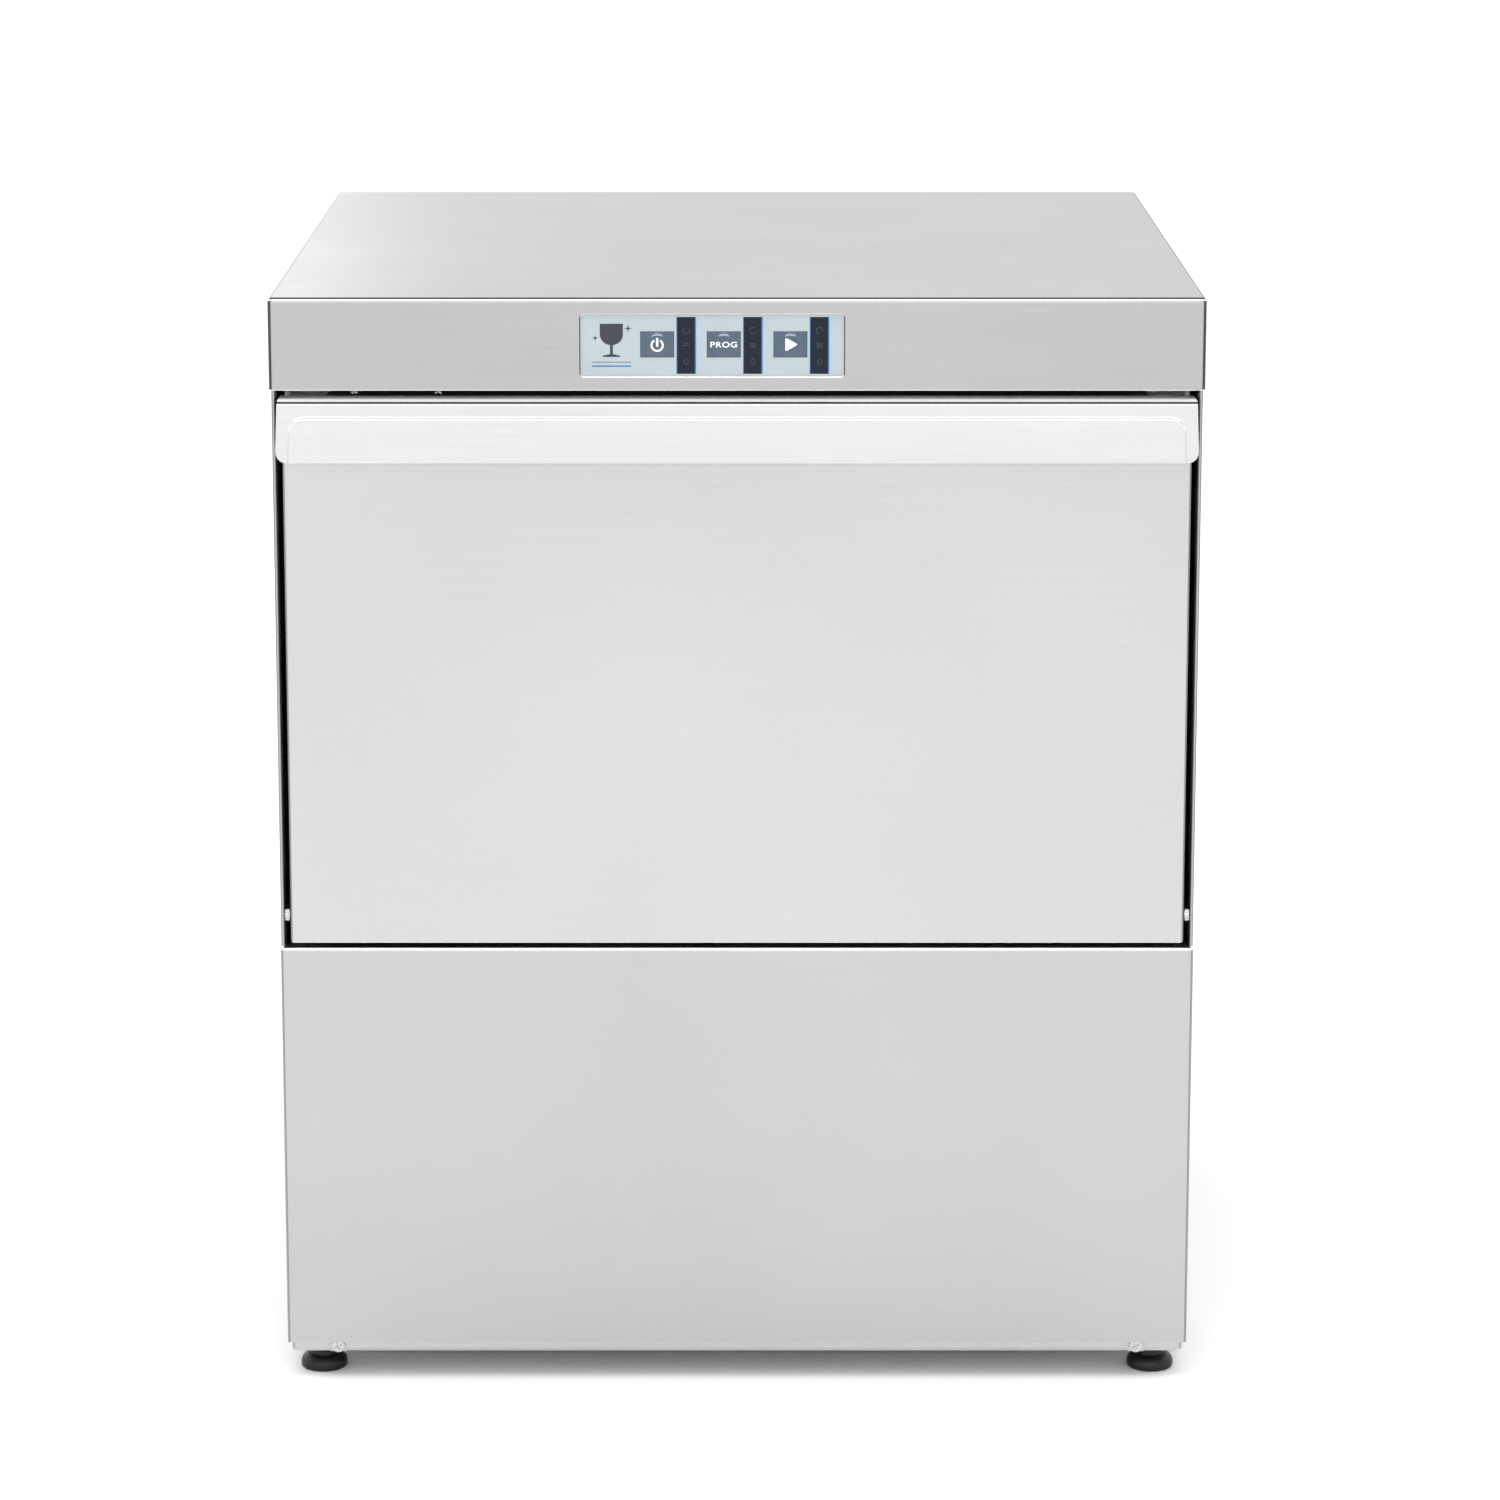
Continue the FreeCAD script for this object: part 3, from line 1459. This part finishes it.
def control_board():
    """Circuit board behind the control panel with switches, lamps and a connector."""
    y = FRONT + d.board_gap
    wide = d.aperture_width - 4
    tall = d.aperture_height - 2
    left = d.window_x - wide / 2
    board = block("board_blank", (wide, d.board_thick, tall), (left, y, d.window_z - tall / 2))
    parts = [board]
    for index in range(3):
        switch = (8, 5, 8)
        at = (key_x(index) - 4, y - 5, key_level() - 4)
        parts.append(block(f"board_switch{index}", switch, at))
        for lamp in range(3):
            level = d.window_z + (lamp - 1) * 11
            parts.append(rod(f"board_lamp{index}{lamp}", 1.5, 3, (strip_x(index), y - 3, level), "y"))
    chip_y = y + d.board_thick
    parts.append(block("board_chip", (14, 2, 14), (left + 30, chip_y, d.window_z - 7)))
    parts.append(block("board_socket", (40, 8, 10), (left + 80, chip_y, d.window_z - 14)))
    return fuse("control_board", *parts)


# ---------------------------------------------------------------- machinery


def motor_end():
    return d.motor_x + d.motor_length


def motor_housing():
    """Finned pump motor casing with the stator pressed in, on two mounting feet."""
    at = (d.motor_x, d.motor_y, d.motor_z)
    outer = rod("motor_outer", d.motor_radius, d.motor_length, at, "x")
    fins = []
    for index in range(int(float(d.fins))):
        x = d.motor_x + d.fin_start + index * d.fin_pitch
        fins.append(rod(f"motor_fin{index}", d.motor_radius + 3, 5, (x, d.motor_y, d.motor_z), "x"))
    base_low = TRAY_FLOOR
    tall = d.motor_z - d.motor_radius - base_low + 6
    saddles = []
    for index, x in enumerate((d.motor_x + 25, motor_end() - 45)):
        size = (d.saddle_width, 80, tall)
        saddle = block(f"motor_saddle{index}", size, (x, d.motor_y - 40, base_low))
        saddles.append(saddle)
    inner_at = (d.motor_x + d.motor_wall, d.motor_y, d.motor_z)
    room = d.motor_length - 2 * d.motor_wall
    inner = rod("motor_room", d.motor_radius - d.motor_wall, room, inner_at, "x")
    bore = rod(
        "motor_bore",
        d.shaft_radius + d.shaft_clearance,
        2 * d.motor_wall,
        (motor_end() - 1.5 * d.motor_wall, d.motor_y, d.motor_z),
        "x",
    )
    shell = cut("motor_shell", fuse("motor_solid", outer, *fins, *saddles), inner, bore)
    core_at = (d.motor_x + d.stator_start, d.motor_y, d.motor_z)
    core = rod("stator_core", d.motor_radius - d.motor_wall + 0.5, d.stator_length, core_at, "x")
    hole = rod("stator_hole", d.stator_bore, d.stator_length, core_at, "x")
    return fuse("motor_housing", shell, cut("stator", core, hole))


def pump_volute():
    """Pump chamber with an axial inlet and an upright outlet."""
    x = motor_end()
    at = (x, d.motor_y, d.motor_z)
    drum = rod("volute_drum", d.volute_radius, d.volute_length, at, "x")
    inlet_x = x + d.volute_length
    inlet = rod("volute_inlet", d.suction_radius - 3, 22, (inlet_x - 1, d.motor_y, d.motor_z), "x")
    outlet_x = x + d.volute_length / 2
    outlet_at = (outlet_x, d.motor_y, d.motor_z)
    outlet = rod("volute_outlet", d.manifold_radius + 3, d.volute_radius + 6, outlet_at)
    wall = d.volute_wall
    room_at = (x + wall, d.motor_y, d.motor_z)
    room = rod("volute_room", d.volute_radius - wall, d.volute_length - 2 * wall, room_at, "x")
    inlet_bore = rod(
        "volute_inlet_bore", d.suction_radius - 6, 30, (inlet_x - 5, d.motor_y, d.motor_z), "x"
    )
    outlet_bore = rod("volute_outlet_bore", d.manifold_radius, d.volute_radius + 8, outlet_at)
    seal = rod(
        "volute_seal", d.shaft_radius + d.shaft_clearance, 6, (x - 1, d.motor_y, d.motor_z), "x"
    )
    return cut("pump_volute", fuse("volute_solid", drum, inlet, outlet), room, inlet_bore, outlet_bore, seal)


def pump_rotor():
    """Motor shaft with its rotor core, cooling fan and impeller."""
    start = d.motor_x + d.motor_wall + 3
    end = motor_end() + d.volute_length - d.volute_wall - 6
    at = (start, d.motor_y, d.motor_z)
    shaft = rod("rotor_shaft", d.shaft_radius, end - start, at, "x")
    core_at = (d.motor_x + d.stator_start, d.motor_y, d.motor_z)
    core = rod("rotor_core", d.rotor_radius, d.stator_length, core_at, "x")
    fan_x = start + 6
    impeller_x = end - 18
    fan_disc = rod("rotor_fan_disc", 20, 10, (fan_x, d.motor_y, d.motor_z), "x")
    back_at = (impeller_x, d.motor_y, d.motor_z)
    plate = rod("impeller_plate", d.impeller_radius, 4, back_at, "x")
    eye = rod("impeller_eye", 14, 16, back_at, "x")
    parts = [shaft, core, fan_disc, plate, eye]
    blades = int(float(d.blades))
    for index in range(blades):
        turn = Rotation(Vector(1, 0, 0), 360 / blades * index)
        lean = turn.multVec(Vector(0, -1.5, 0))
        for tag, x, wide, reach in (
            ("fan", fan_x, 10, d.fan_radius),
            ("impeller", impeller_x, 14, d.impeller_radius - 1),
        ):
            blade = doc.addObject("Part::Box", f"{tag}_blade{index}")
            blade.Length = wide
            blade.Width = 3
            bind(blade, "Height", reach)
            corner = (x, d.motor_y + lean.y, d.motor_z + lean.z)
            parts.append(put(blade, corner, turn))
    return fuse("pump_rotor", *parts)


def suction_hose():
    """Moulded hose from the tank to the pump inlet."""
    low = d.motor_z
    end_x = motor_end() + d.volute_length + 6
    route = [
        (d.suction_x, d.motor_y, d.tank_low - 0.2),
        (d.suction_x, d.motor_y, low),
        (end_x, d.motor_y, low),
    ]
    return pipe("suction_hose", [route], d.suction_radius, d.suction_radius - 2.8, 45)


def wash_manifold():
    """Delivery pipe from the pump to the lower hub and up the back to the upper hub."""
    level = 190
    outlet_x = motor_end() + d.volute_length / 2
    start = d.motor_z + d.volute_radius + 6.2
    lower = [
        (outlet_x, d.motor_y, start),
        (outlet_x, d.motor_y, level),
        (0, d.axis_y, level),
        (0, d.axis_y, d.hub_low - 0.2),
    ]
    riser = [
        (0, d.axis_y, level),
        (0, d.riser_y, level),
        (0, d.riser_y, d.riser_top),
        (0, d.axis_y, d.riser_top),
        (0, d.axis_y, d.chamber_top + 10.2),
    ]
    return pipe("wash_manifold", [lower, riser], d.manifold_radius, d.manifold_bore, 12.5)


def boiler_tank():
    """Rinse water boiler with domed ends on a folded cradle."""
    body = new_body("boiler_shell")
    section = sketch(body, "XZ_Plane", "boiler_section")
    circle(section, 0, 0, d.boiler_radius)
    pad(body, section, d.boiler_length, backwards=True)
    fillet(body, 24, lambda e: e.BoundBox.YLength < 0.01)
    put(body, (d.boiler_x, -(d.boiler_length / 2), d.boiler_z))
    room = new_body("boiler_room")
    inner = sketch(room, "XZ_Plane", "boiler_inner")
    circle(inner, 0, 0, d.boiler_radius - d.boiler_wall)
    pad(room, inner, d.boiler_length - 2 * d.boiler_wall, backwards=True)
    fillet(room, 22.5, lambda e: e.BoundBox.YLength < 0.01)
    put(room, (d.boiler_x, -(d.boiler_length / 2) + d.boiler_wall, d.boiler_z))
    saddles = []
    tall = d.boiler_z - d.boiler_radius - TRAY_FLOOR + 8
    for index, y in enumerate((-90, 70)):
        at = (d.boiler_x - 40, y, TRAY_FLOOR)
        saddles.append(block(f"boiler_saddle{index}", (80, 20, tall), at))
    spout = rod("boiler_spout", 7, 14, (d.boiler_x, 110, d.boiler_z + d.boiler_radius - 4))
    mouth = rod("boiler_mouth", 30, 10, (d.boiler_x, -(d.boiler_length / 2) - 1, d.boiler_z), "y")
    return cut("boiler_tank", fuse("boiler_solid", body, *saddles, spout), room, mouth)


def boiler_heater():
    """Flanged immersion heater in the front end of the boiler."""
    front = -(d.boiler_length / 2)
    flange = rod("boiler_flange", 36, 5, (d.boiler_x, front - 5.2, d.boiler_z), "y")
    parts = [flange]
    for index, (dx, dz) in enumerate(((-16, 0), (16, 0), (0, -16), (0, 16))):
        at = (d.boiler_x + dx, front - 14, d.boiler_z + dz)
        parts.append(rod(f"boiler_element{index}", 4, 230, at, "y"))
    bulb = rod("boiler_thermostat", 3, 160, (d.boiler_x, front - 12, d.boiler_z), "y")
    return fuse("boiler_heater", *parts, bulb)


def water_inlet():
    """Threaded inlet that stands out of the rear panel."""
    long = d.rear_reach + 4
    at = (d.inlet_x, REAR + d.rear_reach - long, d.inlet_z)
    stub = rod("inlet_stub", d.inlet_radius, long, at, "y")
    collar = hexagon("inlet_collar", 18, 4, (d.inlet_x, REAR + d.flange_gap, d.inlet_z), "y")
    bore = rod("inlet_bore", d.inlet_bore, long, at, "y")
    return cut("water_inlet", fuse("inlet_solid", stub, collar), bore)


def inlet_valve():
    """Solenoid valve behind the water inlet."""
    front = REAR - 50
    housing = block("valve_housing", (34, 45.5, 34), (d.inlet_x - 17, front, d.inlet_z - 17))
    coil = rod("valve_coil", 17, 34, (d.inlet_x, front + 20, d.inlet_z + 17))
    outlet = rod("valve_outlet", 8, 20, (d.inlet_x, front - 19, d.inlet_z), "y")
    return fuse("inlet_valve", housing, coil, outlet)


def rinse_pipe():
    """Thin pipe that takes hot water from the boiler to both hubs."""
    x = d.boiler_x
    start_z = d.boiler_z + d.boiler_radius + 10.2
    level = d.hub_low + 8
    beside = 40
    top = d.riser_top + 4
    riser = [
        (x, 110, start_z),
        (x, 110, level),
        (x, d.riser_y, level),
        (beside, d.riser_y, level),
        (beside, d.riser_y, top),
        (beside, d.axis_y, top),
        (beside, d.axis_y, d.chamber_top + 5.5),
        (d.hub_radius + 0.2, d.axis_y, d.chamber_top + 5.5),
    ]
    aside = x - 60
    branch = [
        (x, 150, level),
        (aside, 150, level),
        (aside, d.axis_y, level),
        (d.hub_radius + 0.2, d.axis_y, level),
    ]
    return pipe("rinse_pipe", [riser, branch], 5, 3.8, 10)


def drain_outlet():
    """Hose spigot through the rear panel."""
    long = d.clip_length + 16
    at = (d.drain_x, REAR + d.clip_length - long, d.drain_z)
    stub = rod("drain_stub", d.drain_radius, long, at, "y")
    flange = rod("drain_flange", 22, 3, (d.drain_x, REAR + d.flange_gap, d.drain_z), "y")
    bore = rod("drain_bore_rod", d.drain_bore, long, at, "y")
    return cut("drain_outlet", fuse("drain_solid", stub, flange), bore)


def drain_hose():
    """Hose from the overflow seat to the rear spigot."""
    route = [
        (d.drain_x, d.drain_y, d.tank_low - 0.2),
        (d.drain_x, d.drain_y, d.drain_z),
        (d.drain_x, REAR - 16.2, d.drain_z),
    ]
    return pipe("drain_hose", [route], d.drain_radius + 1, d.drain_bore, 40)


def cable_gland():
    """Clamping gland for the supply cable."""
    body_at = (d.gland_x, REAR - 8, d.gland_z)
    thread = rod("gland_thread", d.gland_bore + d.gland_wall, 20, body_at, "y")
    collar_at = (d.gland_x, REAR + d.flange_gap, d.gland_z)
    collar = hexagon("gland_collar", d.gland_collar, 5, collar_at, "y")
    dome_at = (d.gland_x, REAR + d.flange_gap + 5, d.gland_z)
    dome = cone("gland_dome", 12, 9, 14, dome_at, "y")
    bore = rod("gland_bore_rod", d.gland_bore, 30, body_at, "y")
    return cut("cable_gland", fuse("gland_solid", thread, collar, dome), bore)


def component_plate():
    """Upright plate across the base that carries the electrical parts and the dosing pumps."""
    span = 480
    at = (-250, d.plate_y, TRAY_FLOOR)
    upright_plate = block("plate_upright", (span, d.plate_thick, d.plate_height), at)
    foot_plate = block("plate_foot", (span, 24, d.plate_thick), at)
    return fuse("component_plate", upright_plate, foot_plate)


def electrical_components():
    """Contactors, terminal block and relay on the component plate."""
    face = d.plate_y
    parts = []
    for index in range(2):
        x = -230 + 52 * index
        frame = block(f"contactor{index}", (45, 40, 58), (x, face - 40, 120))
        bridge = block(f"contactor_bridge{index}", (30, 6, 30), (x + 7.5, face - 46, 134))
        parts.append(fuse(f"contactor_unit{index}", frame, bridge))
    terminals = [block("terminal_base", (96, 12, 24), (-232, face - 12, 70))]
    for index in range(8):
        terminals.append(block(f"terminal{index}", (10, 18, 18), (-230 + 12 * index, face - 30, 73)))
    parts.append(fuse("terminal_block", *terminals))
    parts.append(block("timer_relay", (40, 36, 60), (-110, face - 36, 110)))
    return group("electrical_components", *parts)


def dosing_pump(name, x):
    """Peristaltic dosing pump: an open round housing with its gear motor behind the plate."""
    face = d.plate_y - d.dosing_depth
    case = rod(name + "_case", d.dosing_radius, d.dosing_depth, (x, face, d.dosing_z), "y")
    lugs = block(name + "_lugs", (70, 3, 12), (x - 35, d.plate_y - 3, d.dosing_z - 6))
    cavity = rod(name + "_cavity", d.dosing_cavity, d.dosing_depth, (x, face - 4, d.dosing_z), "y")
    spigots = []
    for side in (-1, 1):
        at = (x + side * 18, face + 10, d.dosing_z - d.dosing_radius - 10)
        spigots.append(rod(f"{name}_spigot{side + 1}", 3, 22, at))
    return cut(name, fuse(name + "_solid", case, lugs, *spigots), cavity)


def dosing_rotor(name, x):
    """Three-roller rotor of a dosing pump."""
    face = d.plate_y - d.dosing_depth + 2
    hub = rod(name + "_hub", 7, 15, (x, face, d.dosing_z), "y")
    plate = rod(name + "_plate", 19, 3, (x, face + 10, d.dosing_z), "y")
    parts = [hub, plate]
    for index in range(3):
        angle = math.radians(90 + 120 * index)
        at = (x + 14 * math.cos(angle), face, d.dosing_z + 14 * math.sin(angle))
        parts.append(rod(f"{name}_roller{index}", 5.5, 12, at, "y"))
    return fuse(name, *parts)


# ---------------------------------------------------------------- assembly


def build():
    detergent_x = 90
    rinse_aid_x = 175
    nodes = {
        "base_tray": base_tray(),
        "left_side_panel": side_panel("left_side_panel", mirror=False),
        "right_side_panel": side_panel("right_side_panel", mirror=True),
        "rear_panel": rear_panel(),
        "lower_front_panel": lower_front_panel(),
        "top_cover": top_cover(),
        "front_posts": front_posts(),
        "front_frame": front_frame(),
        "door_gasket": door_gasket(),
        "panel_screws": panel_screws(),
        "door_outer_panel": door_outer_panel(),
        "door_inner_panel": door_inner_panel(),
        "door_handle": door_handle(),
        "hinge_brackets": hinge_brackets(),
        "hinge_blocks": hinge_blocks(),
        "door_springs": door_springs(),
        "door_magnet": door_magnet(),
        "door_switch": door_switch(),
        "wash_chamber": wash_chamber(),
        "wash_tank": wash_tank(),
        "tank_filters": tank_filters(),
        "overflow_pipe": overflow_pipe(),
        "tank_heater": tank_heater(),
        "lower_hub": lower_hub(),
        "upper_hub": upper_hub(),
        "basket_rails": basket_rails(),
        "glass_basket": glass_basket(),
        "control_panel": control_panel(),
        "indicator_windows": indicator_windows(),
        "control_board": control_board(),
        "motor_housing": motor_housing(),
        "pump_volute": pump_volute(),
        "pump_rotor": pump_rotor(),
        "suction_hose": suction_hose(),
        "wash_manifold": wash_manifold(),
        "boiler_tank": boiler_tank(),
        "boiler_heater": boiler_heater(),
        "water_inlet": water_inlet(),
        "inlet_valve": inlet_valve(),
        "rinse_pipe": rinse_pipe(),
        "drain_outlet": drain_outlet(),
        "drain_hose": drain_hose(),
        "cable_gland": cable_gland(),
        "component_plate": component_plate(),
        "electrical_components": electrical_components(),
        "detergent_pump": dosing_pump("detergent_pump", detergent_x),
        "rinse_aid_pump": dosing_pump("rinse_aid_pump", rinse_aid_x),
        "detergent_rotor": dosing_rotor("detergent_rotor", detergent_x),
        "rinse_aid_rotor": dosing_rotor("rinse_aid_rotor", rinse_aid_x),
    }
    rinse_low = wash_level() + d.wash_hub_height + d.arm_gap
    rinse_high = upper_level() - d.wash_hub_height - d.arm_gap
    nodes["lower_wash_arm"] = wash_arm("lower_wash_arm", wash_level(), False)
    nodes["upper_wash_arm"] = wash_arm("upper_wash_arm", upper_level(), True)
    nodes["lower_rinse_arm"] = rinse_arm("lower_rinse_arm", rinse_low, False)
    nodes["upper_rinse_arm"] = rinse_arm("upper_rinse_arm", rinse_high, True)
    for index, name in enumerate(("power_key", "program_key", "start_key")):
        nodes[name] = key(name, index)
    for side, sx in (("left", -1), ("right", 1)):
        for end, sy in (("front", -1), ("rear", 1)):
            name = f"{end}_{side}_foot"
            nodes[name] = foot(name, sx, sy)
    return nodes


def write(nodes):
    doc.recompute()
    failed = [o.Name for o in doc.Objects if {"Invalid", "Error"} & set(o.State)]
    for name, node in nodes.items():
        node.Label = name
        if node.Shape.isNull() or not node.Shape.isValid() or not node.Shape.Solids:
            failed.append(name)
    if failed:
        raise SystemExit(f"these objects failed: {sorted(set(failed))}")
    os.makedirs("parts", exist_ok=True)
    for name, node in nodes.items():
        node.Shape.exportStep(f"parts/{name}.step")
        print(f"{name:24s} {len(node.Shape.Solids):3d} solids {node.Shape.Volume / 1000:10.1f} cm3")


write(build())
